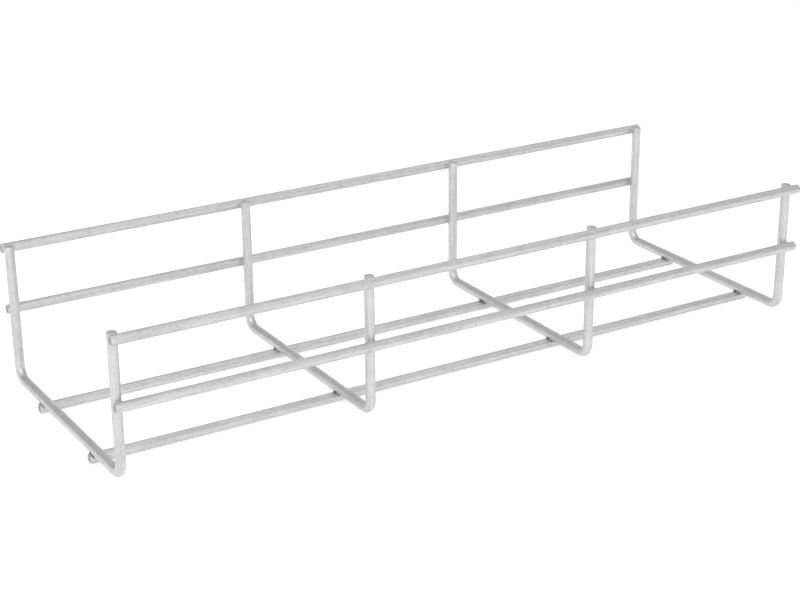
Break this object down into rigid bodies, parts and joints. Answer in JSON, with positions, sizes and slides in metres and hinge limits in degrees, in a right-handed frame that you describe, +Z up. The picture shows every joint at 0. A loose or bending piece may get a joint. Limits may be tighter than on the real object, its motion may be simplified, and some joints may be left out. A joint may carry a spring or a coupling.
{
  "type": "wire mesh cable basket",
  "caption": "Short length of welded wire cable tray: U-bent cross wires with straight long wires along the floor and both walls, open at the top and ends.",
  "frame": {"origin": "middle of the tray's length and width, on the level that its two floor wires rest on", "axes": "+X along the tray from its start to its finish end, +Y across it towards the back wall, +Z up"},
  "size_m": [0.3056, 0.1106, 0.0597],
  "materials": {
    "zinc_wire": "zinc plated steel wire, pale satin grey"
  },
  "bodies": {
    "root": {"cross_wire_1": "zinc_wire", "cross_wire_2": "zinc_wire", "cross_wire_3": "zinc_wire", "cross_wire_4": "zinc_wire", "floor_wire_front": "zinc_wire", "floor_wire_back": "zinc_wire", "side_wire_front": "zinc_wire", "side_wire_back": "zinc_wire", "rim_wire_front": "zinc_wire", "rim_wire_back": "zinc_wire"}
  },
  "joints": []
}
